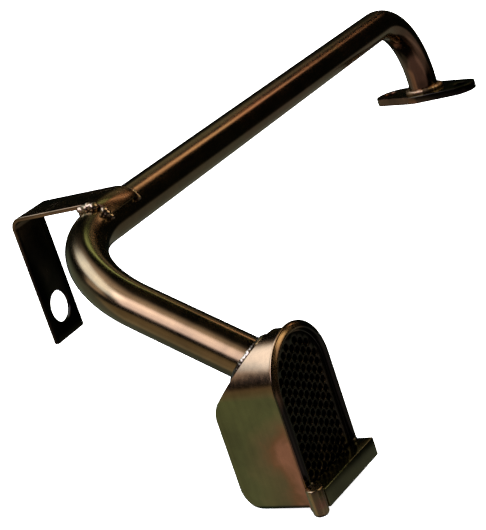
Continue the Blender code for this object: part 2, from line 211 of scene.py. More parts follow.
# The tones can lean across the piece from its middle, which on some pieces paints light and shade, and a
# crown tone, a painted highlight, takes over between two heights
def zincMaterial(name, tones, roughness, drift=1.0, along=None, turn=(0, 0, 0), lean=(0, 0, 0),
                 middle=(0, 0, 0), highlightCrown=None, coat=zincPlate["coat"]):
    sheet = Finish(name)
    across, length = zincPlate["drawn"]
    body = sheet.place(attribute=along)
    streaks = sheet.place((across, across, length), turn, along)
    scale, *film = zincPlate["film"]
    slow = sheet.noise(body, scale * drift, *film)
    clouds = sheet.noise(body, *zincPlate["clouds"])
    grain = sheet.noise(body, *zincPlate["grain"])
    lines = sheet.noise(streaks, *zincPlate["lines"])
    value = sheet.math("ADD", slow, sheet.math("MULTIPLY", clouds, zincPlate["cloudShare"]))
    if any(lean):
        centred = sheet.add("ShaderNodeVectorMath", operation="SUBTRACT")
        sheet.wire(body, centred.inputs[0])
        centred.inputs[1].default_value = middle
        value = sheet.math("ADD", value, sheet.dot(centred.outputs["Vector"], lean))
    start, step = zincPlate["tonesFrom"], zincPlate["tonesOver"] / (len(tones) - 1)
    colour = sheet.ramp(value, [(start + step * i, tone) for i, tone in enumerate(tones)])
    if highlightCrown:
        tone, low, high = highlightCrown
        colour = sheet.mix(sheet.spread(sheet.dot(body, up), low, high, 0.0, 1.0), colour, tone)
    cloudy = zincPlate["cloudRange"]
    shade = sheet.spread(clouds, *cloudy, 1.0 - zincPlate["worn"], 1.0 + zincPlate["polished"])
    shade = sheet.math("MULTIPLY", shade, sheet.spread(lines, *zincPlate["lineShade"]))
    sheet.wire(sheet.mix(1.0, colour, shade, "MULTIPLY"), sheet.shader.inputs["Base Color"])
    swing, scratch = roughness * zincPlate["roughSwing"], zincPlate["scratch"]
    rough = sheet.math("ADD", sheet.spread(clouds, *cloudy, roughness - swing, roughness + swing),
                       sheet.spread(lines, *zincPlate["lineRange"], 0.0, roughness * scratch))
    sheet.wire(rough, sheet.shader.inputs["Roughness"])
    height = sheet.math("ADD", sheet.math("MULTIPLY", grain, zincPlate["grainShare"]),
                        sheet.math("MULTIPLY", lines, scratch * 2))
    sheet.bump(height, zincPlate["bump"], zincPlate["bumpDepth"])
    sheet.set(Metallic=1.0, Specular_Tint=(*zincPlate["edgeTint"], 1.0), Coat_Weight=coat,
              Coat_Roughness=zincPlate["coatRoughness"])
    return sheet.material


# Weld metal under the same plate: patches from dark to bright, with fine pits
weldPlate = {
    "tonesAt": (0.36, 0.51, 0.62),
    "patches": (2.0, 0.5),             # detail and roughness of the patches
    "pits": (1500.0, 3.0, 0.6),
    "patchRange": (0.3, 0.7),
    "roughness": (0.16, 0.34),
    "bump": 0.4,
    "bumpDepth": 0.00004,
    "coat": 0.5,
    "coatRoughness": 0.1,
}


def weldMaterial(name, tones, patches):
    sheet = Finish(name)
    body = sheet.place()
    heat = sheet.noise(body, patches, *weldPlate["patches"])
    pits = sheet.noise(body, *weldPlate["pits"])
    sheet.wire(sheet.ramp(heat, list(zip(weldPlate["tonesAt"], tones))), sheet.shader.inputs["Base Color"])
    rough = sheet.spread(heat, *weldPlate["patchRange"], *weldPlate["roughness"])
    sheet.wire(rough, sheet.shader.inputs["Roughness"])
    sheet.bump(pits, weldPlate["bump"], weldPlate["bumpDepth"])
    sheet.set(Metallic=1.0, Coat_Weight=weldPlate["coat"], Coat_Roughness=weldPlate["coatRoughness"])
    return sheet.material


copper = (0.205, 0.108, 0.054)
gold = (0.205, 0.138, 0.068)
straw = (0.420, 0.270, 0.150)
reflectionBrass = (0.300, 0.190, 0.095)
amber = (0.300, 0.240, 0.120)
highlightPeach = (0.262, 0.166, 0.092)
olive = (0.116, 0.146, 0.057)
moss = (0.134, 0.142, 0.060)
bronze = (0.152, 0.132, 0.064)
fern = (0.110, 0.112, 0.053)
leaf = (0.122, 0.130, 0.058)
rose = (0.215, 0.110, 0.066)
brick = (0.330, 0.160, 0.110)
umber = (0.190, 0.130, 0.078)
rust = (0.215, 0.130, 0.074)
brown = (0.150, 0.086, 0.050)
charcoal = (0.060, 0.044, 0.030)
slate = (0.024, 0.020, 0.014)
# A near-black tone for painted shade: on the strap's leg, the flange's right end, the frame's lower right,
# the screen and the tacks
shadeBlack = (0.012, 0.009, 0.007)
brightWeld = [(0.10, 0.06, 0.035), (0.40, 0.29, 0.20), (0.16, 0.12, 0.06)]
# The shroud bead's weld is a darker copy of the same weld. Its dark tones paint the shade of the crease where
# the tube meets the shroud, and its rare bright patches are the weld's own
darkWeld = [(0.03, 0.022, 0.014), (0.06, 0.045, 0.03), (0.50, 0.42, 0.34)]

finishes = {
    "tube": zincMaterial("bronzeZinc", [gold, gold, gold, gold, copper, rose], 0.16, along="unrolled",
                         lean=(0, 0, -0.9), middle=(0, 0, 0.36)),
    # The strap's tone leans darker towards the foot of its leg, which is painted shade; its top stays umber
    # and rust
    "strap": zincMaterial("shadedStrapZinc", [shadeBlack, charcoal, umber, rust], 0.2, turn=(90, 0, 0),
                          lean=(0, 0, 9.0), middle=(0, -0.39, 0.056), coat=0.15),
    # The flange's tone leans from rose at its left end to near-black at its right, painting the light and
    # shade across its side wall
    "flange": zincMaterial("shadedFlangeZinc", [shadeBlack, charcoal, rose, rose], 0.17,
                           lean=(-9.0, 0, 0), middle=(-0.004, 0, 0), coat=0.2),
    # The shell's crown tone is a lighter peach over the arch, where the key light's highlight falls, making
    # it a painted highlight
    "shell": zincMaterial("oliveZinc", [olive, olive, olive, moss, bronze, copper, brick], 0.17,
                          turn=(0, 90, 0), lean=(11.0, 0, -3.0), middle=(0.1415, -0.466, -0.024),
                          highlightCrown=(highlightPeach, 0.0015, 0.0065)),
    # The frame's tone leans from brass at the upper left, brightened there to carry the gold reflection
    # (painted reflection), to near-black at the lower right (painted shade)
    "ring": zincMaterial("frameZinc", [shadeBlack, shadeBlack, brown, reflectionBrass, reflectionBrass], 0.22, 2.0,
                         lean=(0, -9.0, 9.0), middle=(0, -0.466, 0.004)),
    "flangeBead": zincMaterial("beadZinc", [copper, straw, gold], 0.34, 3.0),
    "bar": zincMaterial("greenZinc", [fern, leaf], 0.17, turn=(90, 0, 0)),
    "stub": zincMaterial("roseZinc", [brick, amber, brick], 0.24, 3.0),
    # The screen's tones are far darker than the plate elsewhere, painting the shade inside the shroud's mouth
    "screen": zincMaterial("screenZinc", [shadeBlack, slate, charcoal], 0.3, 5.0, coat=0.25),
    # The tacks' near-black tones keep them dark, which is painted shade
    "tack": zincMaterial("tackZinc", [shadeBlack, charcoal], 0.25, 5.0),
    "weld": weldMaterial("weldZinc", brightWeld, 260.0),
    "darkWeld": weldMaterial("shadedWeldZinc", darkWeld, 150.0),
}
print("finishes made:", len(finishes))


mergeDistance = 0.0000008


def finishPiece(name, bm, finish, stands, sharp=35.0):
    bmesh.ops.remove_doubles(bm, verts=bm.verts, dist=mergeDistance)
    bmesh.ops.recalc_face_normals(bm, faces=bm.faces)
    mesh = bpy.data.meshes.new(name)
    bm.to_mesh(mesh)
    bm.free()
    mesh.shade_smooth()
    mesh.set_sharp_from_angle(angle=math.radians(sharp))
    mesh.materials.append(finishes[finish])
    piece = bpy.data.objects.new(name, mesh)
    scene.collection.objects.link(piece)
    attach(piece, "root")
    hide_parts(stands)
    return piece


def heading(yaw, drop=0.0):
    flat = math.cos(math.radians(drop))
    return Vector((flat * math.cos(math.radians(yaw)), flat * math.sin(math.radians(yaw)),
                   -math.sin(math.radians(drop))))


def edgesOf(parts):
    return [part for part in parts if isinstance(part, bmesh.types.BMEdge)]


def vertsOf(parts):
    return [part for part in parts if isinstance(part, bmesh.types.BMVert)]


def facesOf(parts):
    return [part for part in parts if isinstance(part, bmesh.types.BMFace)]


# Tube: up from the flange, along the run, then down the leg into the shroud
tubeShape = {
    "radius": 0.009525,
    "wall": 0.00165,
    "sides": 96,
    "recess": 0.0006,
    "rise": 0.0605,
    "run": 0.4436,
    "runYaw": 5.58,
    "flangeBend": 0.0497,
    "headBend": 0.0540,
    "legYaw": -3.07,
    "legDrop": 29.33,
    "leg": 0.1036,
    "intoShroud": 0.003,
    "bendSteps": 44,
}
runWay = heading(tubeShape["runYaw"] - 90)
runAcross = heading(tubeShape["runYaw"])
legWay = heading(tubeShape["legYaw"], tubeShape["legDrop"])
flangeCorner = up * tubeShape["rise"]
headCorner = flangeCorner + runWay * tubeShape["run"]
slopePoint = headCorner + legWay * tubeShape["leg"]


def pushEdges(bm, edges, way):
    grown = bmesh.ops.extrude_edge_only(bm, edges=edges)["geom"]
    bmesh.ops.translate(bm, verts=vertsOf(grown), vec=way)
    return edgesOf(grown)


def bendEdges(bm, edges, corner, wayIn, wayOut, radius):
    turn = wayIn.angle(wayOut)
    axis = wayIn.cross(wayOut).normalized()
    tangent = radius * math.tan(turn / 2)
    centre = corner - wayIn * tangent + axis.cross(wayIn) * radius
    swept = bmesh.ops.spin(bm, geom=edges, cent=centre, axis=axis, angle=turn,
                           steps=tubeShape["bendSteps"], use_merge=False, use_duplicate=False)
    return edgesOf(swept["geom_last"])


def sweepTube(bm, radius):
    first = tubeShape["flangeBend"] * math.tan(up.angle(runWay) / 2)
    second = tubeShape["headBend"] * math.tan(runWay.angle(legWay) / 2)
    start = Matrix.Translation(up * tubeShape["recess"])
    circle = bmesh.ops.create_circle(bm, segments=tubeShape["sides"], radius=radius, matrix=start)
    begin = sorted({e for v in circle["verts"] for e in v.link_edges}, key=lambda e: e.index)
    edges = pushEdges(bm, begin, up * (tubeShape["rise"] - first - tubeShape["recess"]))
    edges = bendEdges(bm, edges, flangeCorner, up, runWay, tubeShape["flangeBend"])
    edges = pushEdges(bm, edges, runWay * (tubeShape["run"] - first - second))
    edges = bendEdges(bm, edges, headCorner, runWay, legWay, tubeShape["headBend"])
    end = pushEdges(bm, edges, legWay * (tubeShape["leg"] + tubeShape["intoShroud"] - second))
    return begin, end


# Each point's place on the straight tube before it was bent, so patterns follow the bends
def unbend(point, corner, wayIn, wayOut, radius):
    turn = wayIn.angle(wayOut)
    axis = wayIn.cross(wayOut).normalized()
    inward = axis.cross(wayIn)
    centre = corner - wayIn * radius * math.tan(turn / 2) + inward * radius
    rel = point - centre
    swing = math.atan2(rel.dot(wayIn), -rel.dot(inward))
    if swing <= 0:
        return point
    swing = min(swing, turn)
    return centre + Matrix.Rotation(-swing, 3, axis) @ rel + wayIn * radius * swing


def unrollTube(bm):
    layer = bm.verts.layers.float_vector.new("unrolled")
    for v in bm.verts:
        point = unbend(v.co, headCorner, runWay, legWay, tubeShape["headBend"])
        v[layer] = unbend(point, flangeCorner, up, runWay, tubeShape["flangeBend"])


def makeTube():
    bm = bmesh.new()
    outer = sweepTube(bm, tubeShape["radius"])
    inner = sweepTube(bm, tubeShape["radius"] - tubeShape["wall"])
    for outside, inside in zip(outer, inner):
        bmesh.ops.bridge_loops(bm, edges=list(outside) + list(inside))
    unrollTube(bm)
    return finishPiece("bentTube", bm, "tube", "pickup_tube", 50)


makeTube()
print("tube bent")


# A flat plate from closed outlines, the later ones holes, given a thickness and eased edges
def fillPlate(bm, edges, normal):
    filled = bmesh.ops.triangle_fill(bm, edges=edges, use_beauty=True, use_dissolve=False, normal=normal)
    return facesOf(filled["geom"])


def thicken(bm, faces, way):
    grown = bmesh.ops.extrude_face_region(bm, geom=faces)["geom"]
    bmesh.ops.translate(bm, verts=vertsOf(grown), vec=way)
    bmesh.ops.recalc_face_normals(bm, faces=bm.faces)


rimFold = math.radians(60)


def easeRims(bm, offset):
    rims = [e for e in bm.edges if len(e.link_faces) == 2 and e.calc_face_angle(0) > rimFold]
    bmesh.ops.bevel(bm, geom=rims, offset=offset, segments=3, affect="EDGES", profile=0.5,
                    material=-1, clamp_overlap=False)


def sweepPoint(bm, vert, centre, axis, angle, steps):
    swept = bmesh.ops.spin(bm, geom=[vert], cent=centre, axis=axis, angle=math.radians(angle), steps=steps,
                           use_merge=False, use_duplicate=False)
    return vertsOf(swept["geom_last"])[0]


def pushPoint(bm, vert, way):
    grown = bmesh.ops.extrude_vert_indiv(bm, verts=[vert])
    bmesh.ops.translate(bm, verts=grown["verts"], vec=way)
    return grown["verts"][0]


def ringEdges(bm, centre, way, radius, sides):
    turn = way.to_track_quat("Z", "Y").to_matrix().to_4x4()
    place = Matrix.Translation(centre) @ turn
    circle = bmesh.ops.create_circle(bm, segments=sides, radius=radius, matrix=place)
    return list({e for v in circle["verts"] for e in v.link_edges})


# Pump flange: a waist disc and two bolt lobes joined by their tangents
flangeShape = {
    "thick": 0.00476,
    "boltSpacing": 0.05715,
    "lobe": 0.0114,
    "lobeIn": 0.0021,
    "waist": 0.0170,
    "turn": -8.8,
    "boltHole": 0.0087,
    "socket": 0.009825,
    "edge": 0.0003,
    "lobeSides": 32,
    "waistSides": 24,
    "holeSides": 40,
    "socketSides": 72,
}


def makeFlange():
    bm = bmesh.new()
    half = flangeShape["boltSpacing"] / 2
    wide = half - flangeShape["lobeIn"]
    lobe, waist = flangeShape["lobe"], flangeShape["waist"]
    lean = math.degrees(math.acos((waist - lobe) / wide))
    start = heading(-lean) * lobe + Vector((wide, 0, 0))
    vert = bm.verts.new(start)
    for place, radius, begin, end, steps in (
            (wide, lobe, -lean, lean, flangeShape["lobeSides"]),
            (0, waist, lean, 180 - lean, flangeShape["waistSides"]),
            (-wide, lobe, 180 - lean, 180 + lean, flangeShape["lobeSides"]),
            (0, waist, 180 + lean, 360 - lean, flangeShape["waistSides"])):
        centre = Vector((place, 0, 0))
        corner = centre + heading(begin) * radius
        if (vert.co - corner).length > 0.00001:
            vert = pushPoint(bm, vert, corner - vert.co)
        vert = sweepPoint(bm, vert, centre, up, end - begin, steps)
    bmesh.ops.contextual_create(bm, geom=[vert, min(bm.verts, key=lambda v: (v.co - start).length)])
    ringEdges(bm, Vector((0, 0, 0)), up, flangeShape["socket"], flangeShape["socketSides"])
    for place in (half, -half):
        ringEdges(bm, Vector((place, 0, 0)), up, flangeShape["boltHole"] / 2, flangeShape["holeSides"])
    faces = fillPlate(bm, bm.edges[:], up)
    thicken(bm, faces, up * flangeShape["thick"])
    easeRims(bm, flangeShape["edge"])
    turn = Matrix.Rotation(math.radians(flangeShape["turn"]), 4, "Z")
    bmesh.ops.transform(bm, matrix=turn, verts=bm.verts)
    return finishPiece("pumpFlange", bm, "flange", "pump_flange")


makeFlange()
print("flange cut")


# Stud bracket: a strap wrapped over the tube, run out level and folded down to its hole
strapShape = {
    "width": 0.0240,
    "thick": 0.0020,
    "fromCorner": 0.0540,
    "reach": 0.0453,
    "drop": 0.0635,
    "foldRadius": 0.0036,
    "wrap": 62.0,
    "corner": 0.0012,
    "hole": 0.0150,
    "holeUp": 0.0150,
    "gap": 0.0003,
    "edge": 0.0004,
    "wrapSteps": 28,
    "foldSteps": 14,
    "cornerSteps": 5,
    "holeSides": 64,
}
strapMiddle = headCorner - runWay * strapShape["fromCorner"]


def makeStrap():
    bm = bmesh.new()
    inside = tubeShape["radius"] + strapShape["gap"]
    outside = inside + strapShape["thick"]
    halfWidth = runWay * strapShape["width"] / 2
    wrap = math.radians(strapShape["wrap"])
    spoke = runAcross * math.sin(wrap) + up * math.cos(wrap)
    ends = [bm.verts.new(strapMiddle + spoke * outside + side * halfWidth) for side in (-1, 1)]
    edge = bm.edges.new(ends)
    swept = bmesh.ops.spin(bm, geom=[edge], cent=strapMiddle, axis=runWay, angle=wrap,
                           steps=strapShape["wrapSteps"], use_merge=False, use_duplicate=False)
    edge = edgesOf(swept["geom_last"])[0]
    level = strapShape["reach"] - strapShape["thick"] - strapShape["foldRadius"]
    edge = pushEdges(bm, [edge], -runAcross * level)[0]
    foldCentre = strapMiddle - runAcross * level + up * (inside - strapShape["foldRadius"])
    swept = bmesh.ops.spin(bm, geom=[edge], cent=foldCentre, axis=runWay, angle=math.radians(90),
                           steps=strapShape["foldSteps"], use_merge=False, use_duplicate=False)
    edge = edgesOf(swept["geom_last"])[0]
    tip = strapMiddle - runAcross * strapShape["reach"] + up * (outside - strapShape["drop"])
    leg = [bm.verts.new(tip + side * halfWidth) for side in (-1, 1)]
    top = sorted(edge.verts, key=lambda v: (v.co - strapMiddle).dot(runWay))
    for pair in ((top[0], leg[0]), leg, (leg[1], top[1])):
        bm.edges.new(pair)
    bmesh.ops.bevel(bm, geom=leg, offset=strapShape["corner"], segments=strapShape["cornerSteps"],
                    affect="VERTICES", profile=0.5, material=-1)
    low = [e for e in bm.edges if not e.link_faces]
    hole = ringEdges(bm, tip + up * strapShape["holeUp"], runAcross, strapShape["hole"] / 2,
                     strapShape["holeSides"])
    fillPlate(bm, low + hole + [edge], runAcross)
    bmesh.ops.remove_doubles(bm, verts=bm.verts, dist=mergeDistance)
    bmesh.ops.recalc_face_normals(bm, faces=bm.faces)
    topFace = max(bm.faces, key=lambda f: f.calc_center_median().z)
    if topFace.normal.z < 0:
        bmesh.ops.reverse_faces(bm, faces=bm.faces)
    bmesh.ops.solidify(bm, geom=bm.faces[:], thickness=strapShape["thick"])
    bmesh.ops.recalc_face_normals(bm, faces=bm.faces)
    easeRims(bm, strapShape["edge"])
    return finishPiece("studStrap", bm, "strap", "stud_bracket")


makeStrap()
print("strap folded")


# Shroud: a tombstone outline pressed deep, with a sloped back, a rounded heel and a flared lip
shroudShape = {
    "arch": 0.0196,
    "belowArch": 0.0485,
    "depth": 0.0328,
    "wall": 0.0015,
    "edge": 0.0020,
    "foot": 0.0026,
    "leastFoot": 0.0004,
    "slope": 45.0,
    "knee": 0.0120,
    "heel": 0.0105,
    "backBelowTube": 0.0118,
    "archBelowTube": 0.0081,
    "flare": 0.00245,
    "flareDepth": 0.0020,
    "lip": 0.0009,
    "lipFace": 0.00145,
    "lipEase": 0.0001,
    "straightIn": 0.001,   # the last of the straight wall before the flare
    "backSpare": 0.002,    # cut off by the back's planes
    "archSides": 72,
    "footSides": 8,
    "edgeSteps": 6,
    "flareSteps": 9,
    "kneeSteps": 12,
    "heelSteps": 18,
    "gap": 0.0003,
}
archZ = slopePoint.z - shroudShape["archBelowTube"]
bottomZ = archZ - shroudShape["belowArch"]
headY = slopePoint.y
backX = slopePoint.x - shroudShape["backBelowTube"] / math.tan(math.radians(shroudShape["slope"]))
mouthX = backX + shroudShape["depth"]
acrossMouth = Vector((1, 0, 0))


# The front outline drawn in by a distance: an arch over a straight box with rounded feet
def outlineEdges(bm, x, shrink):
    radius = shroudShape["arch"] - shrink
    foot, steps = max(shroudShape["foot"] - shrink, shroudShape["leastFoot"]), shroudShape["footSides"]
    low = bottomZ + shrink
    old = set(bm.edges)
    first = bm.verts.new((x, headY + radius, archZ))
    vert = sweepPoint(bm, first, Vector((x, headY, archZ)), acrossMouth, 180, shroudShape["archSides"])
    vert = pushPoint(bm, vert, Vector((0, 0, low + foot - archZ)))
    vert = sweepPoint(bm, vert, Vector((x, headY - radius + foot, low + foot)), acrossMouth, 90, steps)
    vert = pushPoint(bm, vert, Vector((0, 2 * (radius - foot), 0)))
    vert = sweepPoint(bm, vert, Vector((x, headY + radius - foot, low + foot)), acrossMouth, 90, steps)
    bm.edges.new((vert, first))
    return [e for e in bm.edges if e not in old]


def loftOutlines(bm, stations):
    loops = [outlineEdges(bm, x, shrink) for x, shrink in stations]
    for loop, following in zip(loops, loops[1:]):
        bmesh.ops.bridge_loops(bm, edges=loop + following)
    return loops


def sideNormal(angle):
    return Vector((math.cos(math.radians(angle)), 0, math.sin(math.radians(angle))))


def backPlanes():
    slope = 180 - shroudShape["slope"]
    run = shroudShape["knee"] * math.tan(math.radians(shroudShape["slope"] / 2))
    knee = Vector((backX + shroudShape["knee"], headY, slopePoint.z - shroudShape["backBelowTube"] - run))
    heel = Vector((backX + shroudShape["heel"], headY, bottomZ + shroudShape["heel"]))
    planes = [(slopePoint, sideNormal(slope)), (Vector((backX, headY, archZ)), sideNormal(180))]
    for k in range(1, shroudShape["kneeSteps"]):
        normal = sideNormal(slope + shroudShape["slope"] * k / shroudShape["kneeSteps"])
        planes.append((knee + normal * shroudShape["knee"], normal))
    for k in range(1, shroudShape["heelSteps"]):
        normal = sideNormal(180 + 90 * k / shroudShape["heelSteps"])
        planes.append((heel + normal * shroudShape["heel"], normal))
    return planes


cutDistance = 0.0000001


# A trimmed skin of the shroud: its front outlines lofted, then cut by the planes of its side view
def shroudSkin(stations, shrink):
    bm = bmesh.new()
    loops = loftOutlines(bm, stations)
    bmesh.ops.contextual_create(bm, geom=loops[0])
    for point, normal in backPlanes():
        sliced = bmesh.ops.bisect_plane(bm, geom=bm.verts[:] + bm.edges[:] + bm.faces[:], dist=cutDistance,
                                        plane_co=point - normal * shrink, plane_no=normal, clear_outer=True)
        bmesh.ops.contextual_create(bm, geom=edgesOf(sliced["geom_cut"]))
    bmesh.ops.recalc_face_normals(bm, faces=bm.faces)
    return bm


# The pressed corner between the sides and the back is rounded, and the flare isn't touched
pressedCorner = {"behindFlare": 0.0005, "sideTilt": 0.01, "backTilt": 0.03, "fold": math.radians(12)}


def easePressing(bm):
    front = mouthX - shroudShape["flareDepth"] - pressedCorner["behindFlare"]
    rims = []
    for e in bm.edges:
        if len(e.link_faces) == 2 and all(v.co.x < front for v in e.verts):
            side, back = sorted(abs(f.normal.x) for f in e.link_faces)
            tilted = side < pressedCorner["sideTilt"] and back > pressedCorner["backTilt"]
            if tilted and e.calc_face_angle(0) > pressedCorner["fold"]:
                rims.append(e)
    bmesh.ops.bevel(bm, geom=rims, offset=shroudShape["edge"], segments=shroudShape["edgeSteps"],
                    affect="EDGES", profile=0.5, material=-1, clamp_overlap=True)


def makeShroud():
    flare, deep, wall = shroudShape["flare"], shroudShape["flareDepth"], shroudShape["wall"]
    lip, ease, straight = shroudShape["lip"], shroudShape["lipEase"], shroudShape["straightIn"]
    start = backX - shroudShape["backSpare"]
    stations = [(start, 0.0), (mouthX - deep - straight, 0.0), (mouthX - deep, 0.0)]
    for k in range(1, shroudShape["flareSteps"]):
        angle = math.radians(90 * k / shroudShape["flareSteps"])
        stations.append((mouthX - deep + (deep - lip) * math.sin(angle),
                         -(flare - 2 * ease) * (1 - math.cos(angle))))
    stations += [(mouthX - lip + ease, 0.3 * ease - flare), (mouthX - lip + 2 * ease, -flare),
                 (mouthX - 2 * ease, -flare), (mouthX - ease, 0.3 * ease - flare),
                 (mouthX, 1.5 * ease - flare)]
    outside = shroudSkin(stations, 0.0)
    easePressing(outside)
    lining = [(start, wall), (mouthX - straight, wall), (mouthX, shroudShape["lipFace"] - flare)]
    inside = shroudSkin(lining, wall)
    loaned = bpy.data.meshes.new("lining")
    inside.to_mesh(loaned)
    inside.free()
    outside.from_mesh(loaned)
    bpy.data.meshes.remove(loaned)
    fillPlate(outside, [e for e in outside.edges if e.is_boundary], acrossMouth)
    return finishPiece("pressedShroud", outside, "shell", "pickup_shroud", 40)


makeShroud()
print("shroud pressed")


# Screen frame: a rolled hem over the flare's edge, with a flat shelf on its inside that holds the screen
frameShape = {
    "depth": 0.0009,
    "inset": 0.0019,
    "shelf": 0.0004,
    "crest": 0.00135,
    "outside": 0.0017,
    "middle": 0.0002,
    "flank": 0.0009,
    "swell": (1.5, 0.85),
    "ease": 0.0001,
    "step": 0.00001,       # keeps neighbouring outlines off one plane, where bridging would cross them
    "outerSteps": 8,
    "innerSteps": 5,
}


def makeFrame():
    bm = bmesh.new()
    back, crest, rim = mouthX - frameShape["depth"], frameShape["crest"], frameShape["outside"]
    inner, shelf, middle = frameShape["inset"], frameShape["shelf"], frameShape["middle"]
    ease, step = frameShape["ease"], frameShape["step"]
    rise, settle = frameShape["swell"]
    foot = 2 * ease
    stations = [(back - 3 * step, inner), (back, inner - 5 * ease), (mouthX + 2 * step, -frameShape["flank"]),
                (mouthX + 5 * step, ease - rim), (mouthX + ease, -rim), (mouthX + foot, ease - rim)]
    for k in range(1, frameShape["outerSteps"] + 1):
        t = k / frameShape["outerSteps"]
        swell = (1 - (1 - t) ** rise) ** settle
        stations.append((mouthX + foot + (crest - foot) * swell, -rim + (rim + middle) * t))
    for k in range(1, frameShape["innerSteps"] + 1):
        angle = math.radians(90 * k / frameShape["innerSteps"])
        stations.append((mouthX + crest - (crest + shelf) * (1 - math.cos(angle)),
                         middle + (inner - 4 * ease - middle) * math.sin(angle)))
    stations += [(mouthX - shelf - 3 * step, inner - ease), (mouthX - shelf - ease, inner)]
    loops = loftOutlines(bm, stations)
    bmesh.ops.bridge_loops(bm, edges=loops[-1] + loops[0])
    return finishPiece("screenFrame", bm, "ring", "screen_ring", 50)


makeFrame()
print("screen frame set")


# Suction screen: staggered round holes punched in thin sheet
screenShape = {
    "thick": 0.0009,
    "pitch": 0.00397,
    "hole": 0.0033,
    "holeSides": 14,
    "border": 0.0002,
    "inset": 0.0016,
    "behind": 0.0001,
    "edge": 0.00008,
    "columns": 7,         # to each side of the middle one
    "rows": (-14, 7),
}


def screenHoles():
    column = screenShape["pitch"] * math.sqrt(3) / 2
    margin = screenShape["hole"] / 2 + screenShape["border"]
    reach = shroudShape["arch"] - frameShape["inset"] - margin
    floor = bottomZ + frameShape["inset"] + margin
    holes = []
    lowest, highest = screenShape["rows"]
    for i in range(-screenShape["columns"], screenShape["columns"] + 1):
        for k in range(lowest, highest + 1):
            y = i * column
            z = k * screenShape["pitch"] + (screenShape["pitch"] / 2 if i % 2 else 0.0)
            inArch = z > 0 and math.hypot(y, z) < reach
            inBox = z <= 0 and abs(y) < reach and z + archZ > floor
            if inArch or inBox:
                holes.append((headY + y, archZ + z))
    return holes


def makeScreen():
    bm = bmesh.new()
    back = mouthX - frameShape["depth"] - screenShape["thick"] - screenShape["behind"]
    edges = outlineEdges(bm, back, screenShape["inset"])
    for y, z in screenHoles():
        centre = Vector((back, y, z))
        edges += ringEdges(bm, centre, acrossMouth, screenShape["hole"] / 2, screenShape["holeSides"])
    thicken(bm, fillPlate(bm, edges, acrossMouth), acrossMouth * screenShape["thick"])
    rims = [e for e in bm.edges if e.calc_face_angle(0) > rimFold
            and all(v.co.x > back + screenShape["thick"] / 2 for v in e.verts)]
    bmesh.ops.bevel(bm, geom=rims, offset=screenShape["edge"], segments=1, affect="EDGES", profile=0.5,
                    material=-1, clamp_overlap=False)
    return finishPiece("punchedScreen", bm, "screen", "suction_screen", 50)


makeScreen()
print("screen punched")


# Floor spacer and the stub on its end
spacerShape = {
    "size": 0.00794,
    "edge": 0.0004,
    "edgeSteps": 4,
    "length": 0.0422,
    "up": 0.00215,
    "stubRadius": 0.0035,
    "stubFoot": 0.0032,
    "stubSunk": 0.0006,
    "stubForward": 0.0011,
    "stubAbove": 0.0021,
    "stubLength": 0.0120,
    "stubRound": 0.0019,
    "stubRoundSteps": 9,
    "stubEdge": 0.0005,
    "stubEdgeSteps": 3,
    "stubSides": 56,
}
spacerMiddle = Vector((mouthX + shroudShape["gap"] + spacerShape["size"] / 2, headY,
                       bottomZ + spacerShape["up"] + spacerShape["size"] / 2))


def makeSpacer():
    bm = bmesh.new()
    size = Matrix.Diagonal((spacerShape["size"], spacerShape["length"], spacerShape["size"], 1))
    bmesh.ops.create_cube(bm, size=1, matrix=Matrix.Translation(spacerMiddle) @ size)
    bmesh.ops.bevel(bm, geom=bm.edges[:], offset=spacerShape["edge"], segments=spacerShape["edgeSteps"],
                    affect="EDGES", profile=0.5, material=-1)
    return finishPiece("spacerBar", bm, "bar", "floor_spacer", 40)


def makeStub():
    bm = bmesh.new()
    top = spacerMiddle.z + spacerShape["size"] / 2 + spacerShape["stubAbove"]
    side = headY - spacerShape["length"] / 2 - spacerShape["stubRadius"] + spacerShape["stubSunk"]
    centre = Vector((spacerMiddle.x + spacerShape["stubForward"], side, top - spacerShape["stubLength"] / 2))
    bmesh.ops.create_cone(bm, cap_ends=True, segments=spacerShape["stubSides"],
                          radius1=spacerShape["stubFoot"], radius2=spacerShape["stubRadius"],
                          depth=spacerShape["stubLength"], matrix=Matrix.Translation(centre))
    lower = [e for e in bm.edges if all(v.co.z < centre.z for v in e.verts)]
    upper = [e for e in bm.edges if all(v.co.z > centre.z for v in e.verts)]
    for rim, size, steps in ((lower, "stubRound", "stubRoundSteps"), (upper, "stubEdge", "stubEdgeSteps")):
        bmesh.ops.bevel(bm, geom=rim, offset=spacerShape[size], segments=spacerShape[steps],
                        affect="EDGES", profile=0.5, material=-1)
    return finishPiece("footStub", bm, "stub", "stub_foot", 50)


makeSpacer()
makeStub()
print("spacer set")


# Welds: overlapping puddles fused into one bead
weldShape = {
    "voxel": 0.0002,
    "pitch": 0.0010,
    "jitter": 0.22,
    "drift": 0.8,
    "stretch": 0.1,
    "squash": 0.92,
    "ballDetail": 3,
    "smoothings": 3,
    "smooth": 0.5,
}


def arcPoints(centre, first, second, radius, start, end, steps):
    points = []
    for i in range(steps + 1):
        angle = math.radians(start + (end - start) * i / steps)
        points.append(centre + first * (radius * math.cos(angle)) + second * (radius * math.sin(angle)))
    return points


def stepsFor(radius, sweep):
    return max(2, round(radius * math.radians(abs(sweep)) / weldShape["pitch"]))


